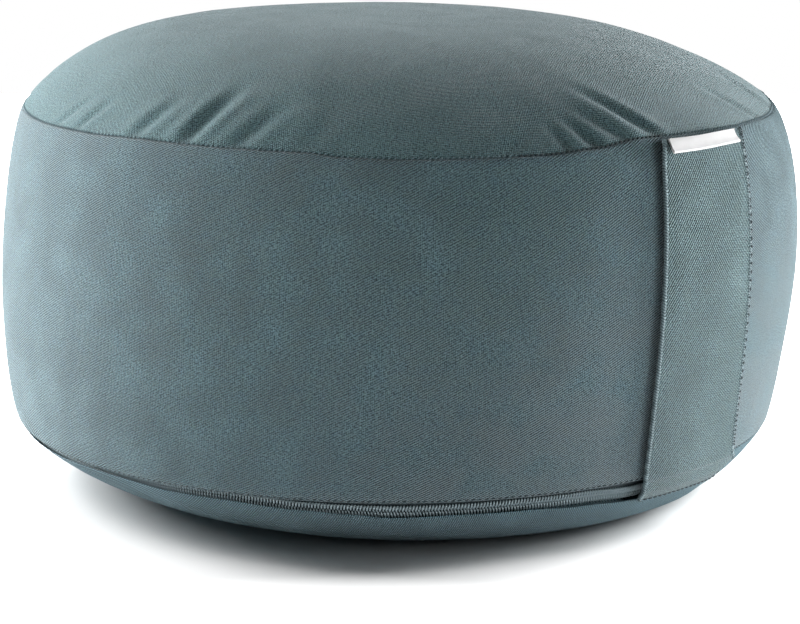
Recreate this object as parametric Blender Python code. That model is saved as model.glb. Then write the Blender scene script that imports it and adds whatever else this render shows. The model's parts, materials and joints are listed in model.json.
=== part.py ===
"""Round meditation cushion (zafu) with a carrying strap, a zip and a blank label.

A straight band is sewn between a round top panel and a round bottom panel, and the cover is
filled tight. So both panels crown, the band bulges between its two seams, and the top panel
puckers where it is eased onto the band. The cushion is one filled solid; the strap, the zip's
tapes and coils, and the label are pieces of their own.

+Z is up, the front faces -Y and +X is on the viewer's right. The origin is the middle of the
flat patch on which the cushion rests. An azimuth is in degrees from the front towards +X.
"""
import math

import bmesh
import bpy

# Sizes in metres and angles in degrees, unless a name says otherwise.
MM = 0.001
SEGMENTS = 96
STEP = 360 / SEGMENTS

# Band, between the top seam and the folded lower edge
TOP_SEAM_RADIUS = 0.1534
TOP_SEAM_HEIGHT = 0.1554
FOLD_RADIUS = 0.1574
FOLD_HEIGHT = 0.0278
BAND_BULGE = 0.0096
BAND_BULGE_POWER = 0.6
BAND_WIDEST = 0.56
BAND_ROWS = 12
BAND_TOP = 0.985
SLOPE_STEP = 0.01

# How much the filling leans to the right, as a share of the sine of the azimuth
LEAN_BULGE = 0.0017
LEAN_WIDEST = 0.06
LEAN_FOLD = -0.0027
LEAN_TOP_SEAM = -0.0009
LEAN_CROWN_POWER = -0.2
LEAN_REST = 0.013

# Top panel
CROWN_HEIGHT = 0.190
CROWN_POWER = 3.9
CROWN_SHIFT_X = -0.010
CREASE_DEPTH = 0.0015
PANEL_SHARES = (0.985, 0.95, 0.90, 0.84, 0.76, 0.66, 0.54, 0.40, 0.25, 0.12)

# Bottom panel
REST_RADIUS = 0.100
REST_POWER = 2.4
BASE_SHARES = (0.30, 0.45, 0.60, 0.75, 0.88)

# Rise of the top seam above its mean height: azimuth, rise in millimetres
SEAM_WAVE = (
    (-150, -0.8),
    (-120, 0.6),
    (-92, -0.3),
    (-65, -0.6),
    (-50, 0.0),
    (-38, 0.9),
    (-24, 0.6),
    (-13, 0.3),
    (-7, -1.2),
    (0, -1.7),
    (20, -1.6),
    (27, -0.5),
    (35, 1.7),
    (47, 1.1),
    (60, 0.2),
    (75, -0.9),
    (100, 0.5),
    (130, -0.7),
    (165, 0.6),
)

# Puckers of the top panel: azimuth at the seam, depth and length in millimetres, half width
# and slant in degrees (how far the pucker leans by its inner end)
PUCKER_IN = 0.5
PUCKER_DOWN = 0.8
PUCKER_SKEW = 0.6
PUCKERS = (
    (-52, 1.6, 34, 3.4, 3),
    (-37, 1.6, 32, 3.2, 3),
    (-27, 3.0, 44, 3.6, 4),
    (-18, 1.4, 34, 3.2, 4),
    (18, 0.8, 30, 3.4, -4),
    (27, 2.0, 38, 3.4, -3),
    (35, 2.8, 50, 3.6, -5),
    (61, 2.0, 34, 3.4, -3),
    (78, 2.0, 30, 6.0, 0),
    (101, 1.6, 34, 3.4, 2),
    (122, 2.6, 46, 3.8, -2),
    (143, 1.6, 32, 3.4, 3),
    (160, 2.2, 42, 3.6, -3),
    (-172, 1.4, 34, 3.4, 2),
    (-153, 2.4, 46, 3.8, 3),
    (-131, 1.6, 34, 3.4, -2),
    (-110, 2.6, 42, 3.8, 2),
    (-95, 1.8, 36, 3.4, 3),
    (-70, 1.0, 30, 3.2, 3),
)

# Zip, in the seam between the band and the bottom panel
ZIP_START = -34 * STEP
ZIP_END = 12 * STEP
CHANNEL_CLOSED = (-138, 59)
CHANNEL_OPEN = (-131, 52.5)
SEAM_TILT = 22.6
ZIP_TILT = 14
CHAIN_DOWN = 0.0012
CHAIN_IN = 0.0010
COIL_WIDTH = 0.0029
COIL_THICKNESS = 0.0018
COIL_SIDES = 6
TAPE_THICKNESS = 0.0010
TAPE_MARGIN = 0.0005
CLEARANCE = 0.0003

# The seam's section, from the bottom panel's edge up to the band's folded edge. Each row is
# down and in from that folded edge, in millimetres: first where the seam is plain, then
# where the zip lies in it.
SEAM_SECTION = (
    ((1.8, 0.0), (5.6, 0.0)),
    ((1.6, 0.7), (5.8, 0.9)),
    ((1.4, 1.1), (8.0, 3.0)),
    ((1.2, 1.4), (7.5, 6.1)),
    ((0.6, 1.4), (-0.5, 4.1)),
    ((0.3, 0.7), (0.3, 0.9)),
)

# Rows of the section that make the bottom panel's edge, and how far that edge lies below its
# place in the section: azimuth, shift in millimetres
EDGE_ROWS = 2
EDGE_SHIFT = (
    (-180, -0.8),
    (-20, -0.8),
    (10, 0.0),
    (25, 0.2),
    (37, 2.0),
    (180, 2.0),
)

# Carrying strap, a folded length of the same cloth sewn into both seams. A share of its
# length runs from the top seam down to the bottom panel's edge.
STRAP_THICKNESS = 0.0020
STRAP_LIFT = 0.0010
STRAP_EDGE_LIFT = 0.0013
STRAP_ACROSS = 6
STRAP_LIFT_POWER = 0.7
STRAP_FOLD = 0.94
STRAP_SHARES = (0.0, 0.045, 0.09, 0.13, 0.19, 0.26, 0.34, 0.42, 0.50, 0.58, 0.66, 0.74, 0.82,
                0.88, STRAP_FOLD, 1.0)
# Azimuths of the strap's two edges at its top, middle and bottom
STRAP_LEFT = (38.3, 35.1, 36.2)
STRAP_RIGHT = (56.0, 52.4, 57.3)

# Label, a folded ribbon sewn into the top seam over the strap
LABEL_SHARES = STRAP_SHARES[:4]
LABEL_LEFT = -0.85
LABEL_RIGHT = 0.86
LABEL_THICKNESS = 0.0010
LABEL_LIFT = 0.0008
LABEL_ACROSS = 5


def along_table(rows, value):
    """Value of a two-column table at a place between its rows, with level ends to each step."""
    for (start, low), (end, high) in zip(rows, rows[1:]):
        if start <= value <= end:
            share = (value - start) / (end - start)
            return low + (high - low) * (1 - math.cos(math.pi * share)) / 2
    raise ValueError(value)


def seam_rise(azimuth):
    """Rise of the top seam at an azimuth."""
    around = SEAM_WAVE + ((SEAM_WAVE[0][0] + 360, SEAM_WAVE[0][1]),)
    turned = (azimuth - around[0][0]) % 360 + around[0][0]
    return along_table(around, turned) * MM


def sine(azimuth):
    return math.sin(math.radians(azimuth))


def fold_point(azimuth):
    """Radius and height of the band's folded lower edge."""
    return FOLD_RADIUS + LEAN_FOLD * sine(azimuth), FOLD_HEIGHT


def seam_point(azimuth):
    """Radius and height of the top seam."""
    radius = TOP_SEAM_RADIUS + LEAN_TOP_SEAM * sine(azimuth)
    return radius, TOP_SEAM_HEIGHT + seam_rise(azimuth)


def band_point(azimuth, share):
    """Radius and height of the band, at a share of the way up from fold to top seam."""
    fold_radius, fold_height = fold_point(azimuth)
    seam_radius, seam_height = seam_point(azimuth)
    widest = BAND_WIDEST + LEAN_WIDEST * sine(azimuth)
    skew = math.log(0.5) / math.log(widest)
    swell = max(0.0, math.sin(math.pi * share ** skew)) ** BAND_BULGE_POWER
    bulge = (BAND_BULGE + LEAN_BULGE * sine(azimuth)) * swell
    radius = fold_radius + (seam_radius - fold_radius) * share + bulge
    return radius, fold_height + (seam_height - fold_height) * share


def below_fold(azimuth, down, inward):
    """Point in the seam's section, measured down and in from the band's folded edge."""
    radius, height = fold_point(azimuth)
    tilt = math.radians(SEAM_TILT)
    radius += -down * math.sin(tilt) - inward * math.cos(tilt)
    height += -down * math.cos(tilt) + inward * math.sin(tilt)
    return radius, height


def zip_openness(azimuth):
    """1 where the zip's channel is open, 0 where the seam is plain, smooth between."""
    turned = (azimuth + 180) % 360 - 180
    left = (turned - CHANNEL_CLOSED[0]) / (CHANNEL_OPEN[0] - CHANNEL_CLOSED[0])
    right = (turned - CHANNEL_CLOSED[1]) / (CHANNEL_OPEN[1] - CHANNEL_CLOSED[1])
    share = max(0.0, min(1.0, left, right))
    return share * share * (3 - 2 * share)


def seam_section(azimuth):
    """Section of the bottom seam, from the bottom panel's edge up to under the fold."""
    openness = zip_openness(azimuth)
    edge_shift = along_table(EDGE_SHIFT, (azimuth + 180) % 360 - 180)
    rows = []
    for row, (plain, zipped) in enumerate(SEAM_SECTION):
        zipped_down = zipped[0] + (edge_shift if row < EDGE_ROWS else 0.0)
        down = (plain[0] + (zipped_down - plain[0]) * openness) * MM
        inward = (plain[1] + (zipped[1] - plain[1]) * openness) * MM
        rows.append(below_fold(azimuth, down, inward))
    return rows


def pucker_depth(azimuth, reach):
    """Depth of the puckers at an azimuth and a reach in metres inward from the top seam."""
    total = 0.0
    for middle, depth, length, half_width, slant in PUCKERS:
        share = reach / (length * MM)
        if share >= 1:
            continue
        away = (azimuth - middle - slant * share + 180) % 360 - 180
        across = math.exp(-(away / half_width) ** 2)
        total += depth * MM * across * math.sin(math.pi * share ** PUCKER_SKEW)
    return total


def section(azimuth):
    """Rows of radius, height and crown share, from the rest patch out, up and in to the crown."""
    rest_radius = REST_RADIUS + LEAN_REST * sine(azimuth)
    rows = [(rest_radius, 0.0, 0.0)]
    seam = seam_section(azimuth)
    edge_radius, edge_height = seam[0]
    for share in BASE_SHARES:
        radius = rest_radius + (edge_radius - rest_radius) * share
        rows.append((radius, edge_height * share ** REST_POWER, 0.0))
    rows += [(radius, height, 0.0) for radius, height in seam]
    for row in range(BAND_ROWS):
        share = BAND_TOP * (1 - math.cos(math.pi * row / (BAND_ROWS - 1))) / 2
        rows.append((*band_point(azimuth, share), 0.0))
    seam_radius, seam_height = seam_point(azimuth)
    rows.append((seam_radius - CREASE_DEPTH, seam_height, 0.0))
    crown_power = CROWN_POWER + LEAN_CROWN_POWER * sine(azimuth)
    for share in PANEL_SHARES:
        crown = 1 - share ** crown_power
        pucker = pucker_depth(azimuth, seam_radius * (1 - share))
        height = seam_height + (CROWN_HEIGHT - seam_height) * crown
        radius = seam_radius * share - pucker * PUCKER_IN
        rows.append((radius, height - pucker * PUCKER_DOWN, crown))
    return rows


def place(azimuth, radius, height, crown=0.0):
    """World point of a section's row."""
    turn = math.radians(azimuth)
    x = radius * math.sin(turn) + CROWN_SHIFT_X * crown
    return x, -radius * math.cos(turn), height


def make_material(name, colour, roughness):
    """Principled material of one colour."""
    material = bpy.data.materials.new(name)
    material.use_nodes = True
    shader = material.node_tree.nodes["Principled BSDF"]
    shader.inputs["Base Color"].default_value = (*colour, 1)
    shader.inputs["Roughness"].default_value = roughness
    shader.inputs["Metallic"].default_value = 0
    return material


def loft(name, rings, material, sharp_angle, parent):
    """Closed solid through rings of points that each go once around, capped at both ends."""
    bm = bmesh.new()
    loops = [[bm.verts.new(point) for point in ring] for ring in rings]
    count = len(loops[0])
    for low, high in zip(loops, loops[1:]):
        for i in range(count):
            j = (i + 1) % count
            bm.faces.new((low[i], low[j], high[j], high[i]))
    bm.faces.new(reversed(loops[0]))
    bm.faces.new(loops[-1])
    bmesh.ops.recalc_face_normals(bm, faces=bm.faces)
    mesh = bpy.data.meshes.new(name)
    bm.to_mesh(mesh)
    bm.free()
    mesh.materials.append(material)
    mesh.shade_smooth()
    mesh.set_sharp_from_angle(angle=math.radians(sharp_angle))
    piece = bpy.data.objects.new(name, mesh)
    bpy.context.collection.objects.link(piece)
    piece.parent = parent
    return piece


def build_cushion(parent, cloth):
    """The filled cover: bottom panel, seam, band, seam and crowned top panel in one solid."""
    sections = [(i * STEP, section(i * STEP)) for i in range(SEGMENTS)]
    rings = []
    for row in range(len(sections[0][1])):
        rings.append([place(azimuth, *rows[row]) for azimuth, rows in sections])
    return loft("cushion", rings, cloth, 50, parent)


def chain_point(azimuth, along, out):
    """Point on the zip, along its width from the upper edge, and out from its face."""
    tilt = math.radians(ZIP_TILT)
    down = CHAIN_DOWN + along * math.cos(tilt) + out * math.sin(tilt)
    inward = CHAIN_IN + along * math.sin(tilt) - out * math.cos(tilt)
    return place(azimuth, *below_fold(azimuth, down, inward))


def zip_azimuths():
    """The cushion's own azimuths from one end of the zip to the other."""
    count = round((ZIP_END - ZIP_START) / STEP)
    return [ZIP_START + i * STEP for i in range(count + 1)]


def build_coil(name, middle, parent, plastic):
    """One side's coil, as the round bead that its turns fill."""
    rings = []
    for azimuth in zip_azimuths():
        ring = []
        for side in range(COIL_SIDES):
            turn = 2 * math.pi * side / COIL_SIDES
            along = middle + COIL_WIDTH / 2 * math.cos(turn)
            out = COIL_THICKNESS / 2 * (math.sin(turn) - 1)
            ring.append(chain_point(azimuth, along, out))
        rings.append(ring)
    return loft(name, rings, plastic, 70, parent)


def build_tape(name, start, end, parent, cloth):
    """One side's woven tape, which carries the coil."""
    outer = -COIL_THICKNESS - CLEARANCE
    inner = outer - TAPE_THICKNESS
    corners = ((start, outer), (end, outer), (end, inner), (start, inner))
    rings = []
    for azimuth in zip_azimuths():
        rings.append([chain_point(azimuth, along, out) for along, out in corners])
    return loft(name, rings, cloth, 30, parent)


def build_zip(parent, tape_cloth, plastic):
    """Two tapes side by side, each with its coil."""
    upper = CLEARANCE + COIL_WIDTH / 2
    lower = upper + COIL_WIDTH + CLEARANCE
    meeting = (upper + lower) / 2
    build_coil("zip_coil_upper", upper, parent, plastic)
    build_coil("zip_coil_lower", lower, parent, plastic)
    edge = CLEARANCE / 2
    tape_end = lower + COIL_WIDTH / 2 + TAPE_MARGIN
    build_tape("zip_tape_upper", -TAPE_MARGIN, meeting - edge, parent, tape_cloth)
    build_tape("zip_tape_lower", meeting + edge, tape_end, parent, tape_cloth)


def band_base(azimuth, share):
    """Point on the band and the outward direction there, in the section's plane."""
    below = band_point(azimuth, max(0.0, share - SLOPE_STEP))
    above = band_point(azimuth, min(1.0, share + SLOPE_STEP))
    rise_radius = above[0] - below[0]
    rise_height = above[1] - below[1]
    length = math.hypot(rise_radius, rise_height)
    return band_point(azimuth, share), (rise_height / length, -rise_radius / length)


def edge_base(azimuth, down):
    """Point below the fold and the outward direction there, in the section's plane."""
    tilt = math.radians(SEAM_TILT)
    return below_fold(azimuth, down, 0.0), (math.cos(tilt), -math.sin(tilt))


def strap_base(azimuth, share):
    """Base of the strap on the cushion, at a share of its length."""
    if share <= STRAP_FOLD:
        up = BAND_TOP * (1 + math.cos(math.pi * share / STRAP_FOLD)) / 2
        return band_base(azimuth, up)
    edge_down = math.dist(seam_section(azimuth)[0], fold_point(azimuth))
    return edge_base(azimuth, edge_down * (share - STRAP_FOLD) / (1 - STRAP_FOLD))


def bowed(ends, share):
    """Value at a share of the length, on the even curve through a top, middle and bottom value."""
    top, middle, bottom = ends
    return top + (bottom - top) * share + (4 * middle - 2 * top - 2 * bottom) * share * (1 - share)


def strap_point(share, across, out):
    """World point at a share of the strap's length, -1 to 1 across it, out from its inner face."""
    free = max(0.0, math.sin(math.pi * min(1.0, share / STRAP_FOLD))) ** STRAP_LIFT_POWER
    left = bowed(STRAP_LEFT, share)
    azimuth = left + (bowed(STRAP_RIGHT, share) - left) * (1 + across) / 2
    (radius, height), (out_radius, out_height) = strap_base(azimuth, share)
    out += CLEARANCE + free * (STRAP_LIFT + STRAP_EDGE_LIFT * across ** 2)
    return place(azimuth, radius + out_radius * out, height + out_height * out)


def flat_ring(share, left, right, steps, inner, outer):
    """Ring of points around a flat section of the strap or of what lies on it."""
    across = [left + (right - left) * i / steps for i in range(steps + 1)]
    ring = [strap_point(share, x, inner) for x in across]
    return ring + [strap_point(share, x, outer) for x in reversed(across)]


def build_strap(parent, cloth):
    """Folded strap that lies along the band, a little off it in the middle and at the edges."""
    rings = [flat_ring(share, -1, 1, STRAP_ACROSS, 0, STRAP_THICKNESS) for share in STRAP_SHARES]
    return loft("strap", rings, cloth, 40, parent)


def build_label(parent, ribbon):
    """Blank folded ribbon, sewn in at its top edge, its lower edge free."""
    rings = []
    for row, share in enumerate(LABEL_SHARES):
        inner = STRAP_THICKNESS + CLEARANCE + LABEL_LIFT * row / (len(LABEL_SHARES) - 1)
        outer = inner + LABEL_THICKNESS
        rings.append(flat_ring(share, LABEL_LEFT, LABEL_RIGHT, LABEL_ACROSS, inner, outer))
    return loft("label", rings, ribbon, 40, parent)


def clear_scene():
    """Empties the scene that the script runs in."""
    for old in list(bpy.data.objects):
        bpy.data.objects.remove(old, do_unlink=True)


def main():
    clear_scene()
    root = bpy.data.objects.new("zafu", None)
    bpy.context.collection.objects.link(root)
    cover_cloth = make_material("cover_cloth", (0.078, 0.125, 0.140), 0.9)
    strap_cloth = make_material("strap_cloth", (0.110, 0.155, 0.160), 0.9)
    zip_tape = make_material("zip_tape", (0.045, 0.075, 0.085), 0.85)
    zip_plastic = make_material("zip_plastic", (0.080, 0.125, 0.140), 0.45)
    label_ribbon = make_material("label_ribbon", (0.86, 0.85, 0.82), 0.7)
    build_cushion(root, cover_cloth)
    build_strap(root, strap_cloth)
    build_zip(root, zip_tape, zip_plastic)
    build_label(root, label_ribbon)


main()
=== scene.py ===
"""Looks of the round meditation cushion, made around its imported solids.

The cover is one fine closed mesh, with the top panel's puckers, the drawn-in seams and the band's
folded lower edge. The strap, the zip's tapes and coils, the label and the sewing are pieces of
their own. The main sizes are the solids' own. The puckers are placed anew from the photo, and the
zip, its seam and the label lie up to about 4 mm off their solids, where the photo shows them.
Sizes are in metres, and an azimuth is in degrees from the front (-Y) towards +X.
"""
import json
import math

import bmesh
import bpy
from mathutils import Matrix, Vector, noise

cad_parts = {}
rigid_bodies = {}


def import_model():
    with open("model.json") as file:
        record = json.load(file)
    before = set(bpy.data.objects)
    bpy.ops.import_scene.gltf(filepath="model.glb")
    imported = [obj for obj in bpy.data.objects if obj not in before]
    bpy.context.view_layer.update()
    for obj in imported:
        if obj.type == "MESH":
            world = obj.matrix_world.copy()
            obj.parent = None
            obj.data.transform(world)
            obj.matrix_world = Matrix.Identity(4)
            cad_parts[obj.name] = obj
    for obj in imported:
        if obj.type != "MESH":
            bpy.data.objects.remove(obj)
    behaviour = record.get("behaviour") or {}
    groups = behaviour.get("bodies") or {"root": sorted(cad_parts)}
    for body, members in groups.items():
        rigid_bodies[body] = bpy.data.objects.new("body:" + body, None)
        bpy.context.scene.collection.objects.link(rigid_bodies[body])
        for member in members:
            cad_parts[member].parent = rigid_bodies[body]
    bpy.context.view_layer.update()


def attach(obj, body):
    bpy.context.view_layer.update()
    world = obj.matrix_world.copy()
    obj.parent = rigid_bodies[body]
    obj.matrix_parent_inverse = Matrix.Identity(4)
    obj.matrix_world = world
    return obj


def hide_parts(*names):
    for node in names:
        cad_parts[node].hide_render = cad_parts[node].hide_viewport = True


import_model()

MM = 0.001
FULL_TURN = 2 * math.pi

# The cover's own sizes, as in its solid
TOP_SEAM_RADIUS = 0.1534
TOP_SEAM_HEIGHT = 0.1554
FOLD_RADIUS = 0.1574
FOLD_HEIGHT = 0.0278
BAND_BULGE = 0.0096
BAND_BULGE_POWER = 0.6
BAND_WIDEST = 0.56
BAND_TOP = 0.985
SLOPE_STEP = 0.01
LEAN_BULGE = 0.0017
LEAN_WIDEST = 0.06
LEAN_FOLD = -0.0027
LEAN_TOP_SEAM = -0.0009
LEAN_CROWN_POWER = -0.2
LEAN_REST = 0.013
CROWN_HEIGHT = 0.190
CROWN_POWER = 3.9
CROWN_SHIFT_X = -0.010
REST_RADIUS = 0.100
REST_POWER = 2.4

# Shares of the rest patch's radius at which the cover has a row
REST_SHARES = (0.05, 0.4, 0.8, 1.0)

# Rise of the top seam above its mean height: azimuth, rise in millimetres
SEAM_WAVE = (
    (-150, -0.8),
    (-120, 0.6),
    (-92, -0.3),
    (-65, -0.6),
    (-50, 0.0),
    (-38, 0.9),
    (-24, 0.6),
    (-13, 0.3),
    (-7, -1.2),
    (0, -1.7),
    (20, -1.6),
    (27, -0.5),
    (35, 1.7),
    (47, 1.1),
    (60, 0.2),
    (75, -0.9),
    (100, 0.5),
    (130, -0.7),
    (165, 0.6),
)

# Shares of a pucker's depth that go in and down, where along it it is deepest, how many half
# widths it reaches to each side, where its ridges stand in these, and how high they are
PUCKER_IN = 0.5
PUCKER_DOWN = 0.8
PUCKER_SKEW = 0.62
PUCKER_REACH = 5
RIDGE_AWAY = 1.9
RIDGE_SHARE = 0.42

# Puckers of the top panel: azimuth at the seam, depth, length and half width in millimetres,
# and slant in degrees (how far the pucker leans by its inner end)
PUCKERS = (
    (-59, 0.7, 17, 2.6, 6),
    (-53, 0.8, 16, 2.4, 5),
    (-40, 0.9, 21, 3.2, 6),
    (-31, 1.7, 29, 3.4, 7),
    (-23, 1.1, 20, 3.8, 7),
    (-13, 0.4, 16, 4.0, 4),
    (14, 0.4, 13, 3.4, 8),
    (23.5, 0.9, 12, 2.4, 0),
    (28, 1.2, 14, 2.6, -2),
    (33, 1.1, 17, 2.8, -4),
    (38.5, 1.6, 28, 3.2, -6),
    (66.5, 0.9, 20, 3.0, -4),
    (80, 0.9, 20, 3.6, 2),
    (97, 1.4, 28, 3.4, 4),
    (113, 0.8, 20, 3.0, -3),
    (124, 1.7, 32, 3.6, -5),
    (143, 1.0, 22, 3.2, 4),
    (158, 1.6, 30, 3.6, -4),
    (172, 0.8, 20, 3.2, 3),
    (-170, 1.2, 26, 3.4, 3),
    (-152, 1.8, 34, 3.8, 5),
    (-137, 0.8, 20, 3.0, -3),
    (-122, 1.3, 26, 3.4, -4),
    (-108, 1.7, 30, 3.6, 5),
    (-92, 1.0, 22, 3.2, 3),
)

# Azimuths at which the zip's channel is closed and fully open, at its left and its right end
CHANNEL_CLOSED = (-138, 59)
CHANNEL_OPEN = (-131, 52.5)
SEAM_TILT = 22.6

# Section of the seam from the bottom panel's edge to under the fold, down and in from the folded
# edge in millimetres: first where the seam is plain, then where the zip lies in it
SEAM_SECTION = (
    ((1.8, 0.0), (5.6, 0.0)),
    ((1.6, 0.7), (5.8, 0.9)),
    ((1.4, 1.1), (9.1, 2.6)),
    ((1.2, 1.4), (8.6, 6.1)),
    ((0.6, 1.4), (-0.3, 4.1)),
    ((0.3, 0.7), (1.1, 0.5)),
)

# How much lower the bottom panel's edge, and then the zip's chain, lie than in that section:
# azimuth, millimetres
EDGE_SHIFT = (
    (-180, -1.0),
    (-100, -1.0),
    (-58, -2.7),
    (-48, -3.4),
    (-43, -3.2),
    (-33, -1.9),
    (-25, -1.8),
    (-13, -0.2),
    (-7, 0.8),
    (-1, 2.0),
    (8, 1.3),
    (17, 1.3),
    (27, 2.8),
    (35, 4.1),
    (180, 4.1),
)
CHAIN_SHIFT = (
    (-180, -0.7),
    (-25, -0.7),
    (-20, 0.5),
    (-13, 1.6),
    (-8, 1.9),
    (-4, 2.15),
    (0, 2.25),
    (8, 2.0),
    (17, 1.6),
    (27, 1.7),
    (35, 3.1),
    (180, 3.1),
)

# The zip: azimuths of its ends, its tilt in degrees, where its upper edge lies down and in from
# the folded edge, and how far its tapes go past the coils
ZIP_START = -127.5
ZIP_END = 45.0
ZIP_TILT = 10
CHAIN_DOWN = 0.0012
CHAIN_IN = 0.0013
COIL_WIDTH = 0.0029
COIL_THICKNESS = 0.0018
TAPE_THICKNESS = 0.0010
TAPE_MARGIN = 0.0005
TAPE_ABOVE = 0.0022
CLEARANCE = 0.0003

# The strap: how far it stands off the band, more in the pocket at its top left, how much of its
# length lies above the folded edge, how it thins at its end, and the azimuths of its left and
# right side at its top, middle and end
STRAP_LENGTH = 0.16
STRAP_THICKNESS = 0.0020
STRAP_LIFT = 0.0008
POCKET_LIFT = 0.0022
POCKET_SHARE = 0.07
POCKET_SPREAD = 0.05
STRAP_LIFT_POWER = 0.7
STRAP_FOLD = 0.94
STRAP_TAPER = 0.025
STRAP_END = 0.3
STRAP_LEFT = (38.3, 35.1, 36.2)
STRAP_RIGHT = (56.0, 52.4, 57.3)

# The label: its ends and its lean, from -1 to 1 across the strap, and its upper and lower edge
# in millimetres below the strap's top, at its left and its right end
LABEL_LEFT = -0.94
LABEL_RIGHT = 0.70
LABEL_LEAN = 0.055
LABEL_TOP = (0.45, 0.0)
LABEL_BOTTOM = (4.7, 3.9)
LABEL_THICKNESS = 0.0010
LABEL_LIFT = 0.0014

# Length of the band's cloth from the fold to the top seam
BAND_LENGTH = 0.13

# Rows and columns of the cover's fine mesh. Its first column lies under the strap.
COLUMNS = 700
FIRST_AZIMUTH = 46.0
BASE_ROWS = 12
BAND_ROWS = 30
BAND_END = 0.996
PANEL_ROWS = 50
PANEL_DENSITY = 1.4
BOTTOM, BAND, TOP = range(3)

# The top seam's crease
CREASE_DEPTH = 0.0008
CREASE_LIP = 0.0001

# Unevenness of the filled cloth: size of the lumps, their depth, how soon they start from a
# seam, and the share of the top panel's radius inside which they fade
LUMPS = ((0.034, 0.00024), (0.011, 0.00010))
LUMP_EDGE = 0.012
LUMP_CROWN = 0.4

# Weave: spacing of the twill's ribs, and the band's mean radius, along which they are laid out
TWILL_PITCH = 0.00085
STRAP_PITCH = 0.00100
BAND_WEAVE_RADIUS = 0.162


# Shape of the cover

def along_table(rows, value):
    """Value of a two-column table at a place between its rows, with level ends to each step."""
    for (start, low), (end, high) in zip(rows, rows[1:]):
        if start <= value <= end:
            share = (value - start) / (end - start)
            return low + (high - low) * (1 - math.cos(math.pi * share)) / 2
    raise ValueError(value)


def turned(azimuth):
    """The same azimuth from -180 to 180."""
    return (azimuth + 180) % 360 - 180


def seam_rise(azimuth):
    """Rise of the top seam at an azimuth."""
    around = SEAM_WAVE + ((SEAM_WAVE[0][0] + 360, SEAM_WAVE[0][1]),)
    start = around[0][0]
    return along_table(around, (azimuth - start) % 360 + start) * MM


def sine(azimuth):
    return math.sin(math.radians(azimuth))


def fold_point(azimuth):
    """Radius and height of the band's folded lower edge."""
    return FOLD_RADIUS + LEAN_FOLD * sine(azimuth), FOLD_HEIGHT


def seam_point(azimuth):
    """Radius and height of the top seam."""
    return TOP_SEAM_RADIUS + LEAN_TOP_SEAM * sine(azimuth), TOP_SEAM_HEIGHT + seam_rise(azimuth)


def band_point(azimuth, share):
    """Radius and height of the band, at a share of the way up from fold to top seam."""
    fold_radius, fold_height = fold_point(azimuth)
    seam_radius, seam_height = seam_point(azimuth)
    skew = math.log(0.5) / math.log(BAND_WIDEST + LEAN_WIDEST * sine(azimuth))
    swell = max(0.0, math.sin(math.pi * share ** skew)) ** BAND_BULGE_POWER
    bulge = (BAND_BULGE + LEAN_BULGE * sine(azimuth)) * swell
    radius = fold_radius + (seam_radius - fold_radius) * share + bulge
    return radius, fold_height + (seam_height - fold_height) * share


def below_fold(azimuth, down, inward):
    """Point in the seam's section, measured down and in from the band's folded edge."""
    radius, height = fold_point(azimuth)
    tilt = math.radians(SEAM_TILT)
    radius += -down * math.sin(tilt) - inward * math.cos(tilt)
    height += -down * math.cos(tilt) + inward * math.sin(tilt)
    return radius, height


def zip_openness(azimuth):
    """1 where the zip's channel is open, 0 where the seam is plain, smooth between."""
    place = turned(azimuth)
    left = (place - CHANNEL_CLOSED[0]) / (CHANNEL_OPEN[0] - CHANNEL_CLOSED[0])
    right = (place - CHANNEL_CLOSED[1]) / (CHANNEL_OPEN[1] - CHANNEL_CLOSED[1])
    share = max(0.0, min(1.0, left, right))
    return share * share * (3 - 2 * share)


def seam_section(azimuth):
    """Section of the bottom seam, from the bottom panel's edge up to under the fold."""
    openness = zip_openness(azimuth)
    edge_shift = along_table(EDGE_SHIFT, turned(azimuth))
    chain_shift = along_table(CHAIN_SHIFT, turned(azimuth))
    fold_shift = min(0.0, chain_shift)
    shifts = (edge_shift, edge_shift, chain_shift, chain_shift, 0.0, fold_shift)
    rows = []
    for shift, (plain, zipped) in zip(shifts, SEAM_SECTION):
        down = (plain[0] + (zipped[0] + shift - plain[0]) * openness) * MM
        inward = (plain[1] + (zipped[1] - plain[1]) * openness) * MM
        rows.append(below_fold(azimuth, down, inward))
    return rows


def pucker_depth(azimuth, reach):
    """Depth of the puckers at an azimuth and a reach inward from the top seam: each is a
    valley with a low ridge on both sides."""
    total = 0.0
    arc = math.radians(TOP_SEAM_RADIUS - reach) / MM
    for middle, depth, length, half_width, slant in PUCKERS:
        share = reach / (length * MM)
        if share >= 1:
            continue
        away = abs(turned(azimuth - middle - slant * share)) * arc / half_width
        if away > PUCKER_REACH:
            continue
        across = math.exp(-away ** 2) - RIDGE_SHARE * math.exp(-(away - RIDGE_AWAY) ** 2)
        total += depth * MM * across * math.sin(math.pi * share ** PUCKER_SKEW)
    return total


def lump(azimuth, radius, height, from_edge):
    """Unevenness at a place on the cloth, none at its edge."""
    spot = place(azimuth, radius, height)
    total = sum(depth * noise.noise(spot / size) for size, depth in LUMPS)
    return total * min(1.0, from_edge / LUMP_EDGE)


def rounded(points, rounds):
    """A run of points with its corners cut, and cut again."""
    for _ in range(rounds):
        cut = [points[0]]
        for start, end in zip(points, points[1:]):
            for share in (0.25, 0.75):
                cut.append(tuple(a + (b - a) * share for a, b in zip(start, end)))
        cut.append(points[-1])
        points = cut
    return points


def lengths(points):
    """Distance along a run of points, at each of them."""
    total = [0.0]
    for start, end in zip(points, points[1:]):
        total.append(total[-1] + math.dist(start[:2], end[:2]))
    return total


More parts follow.
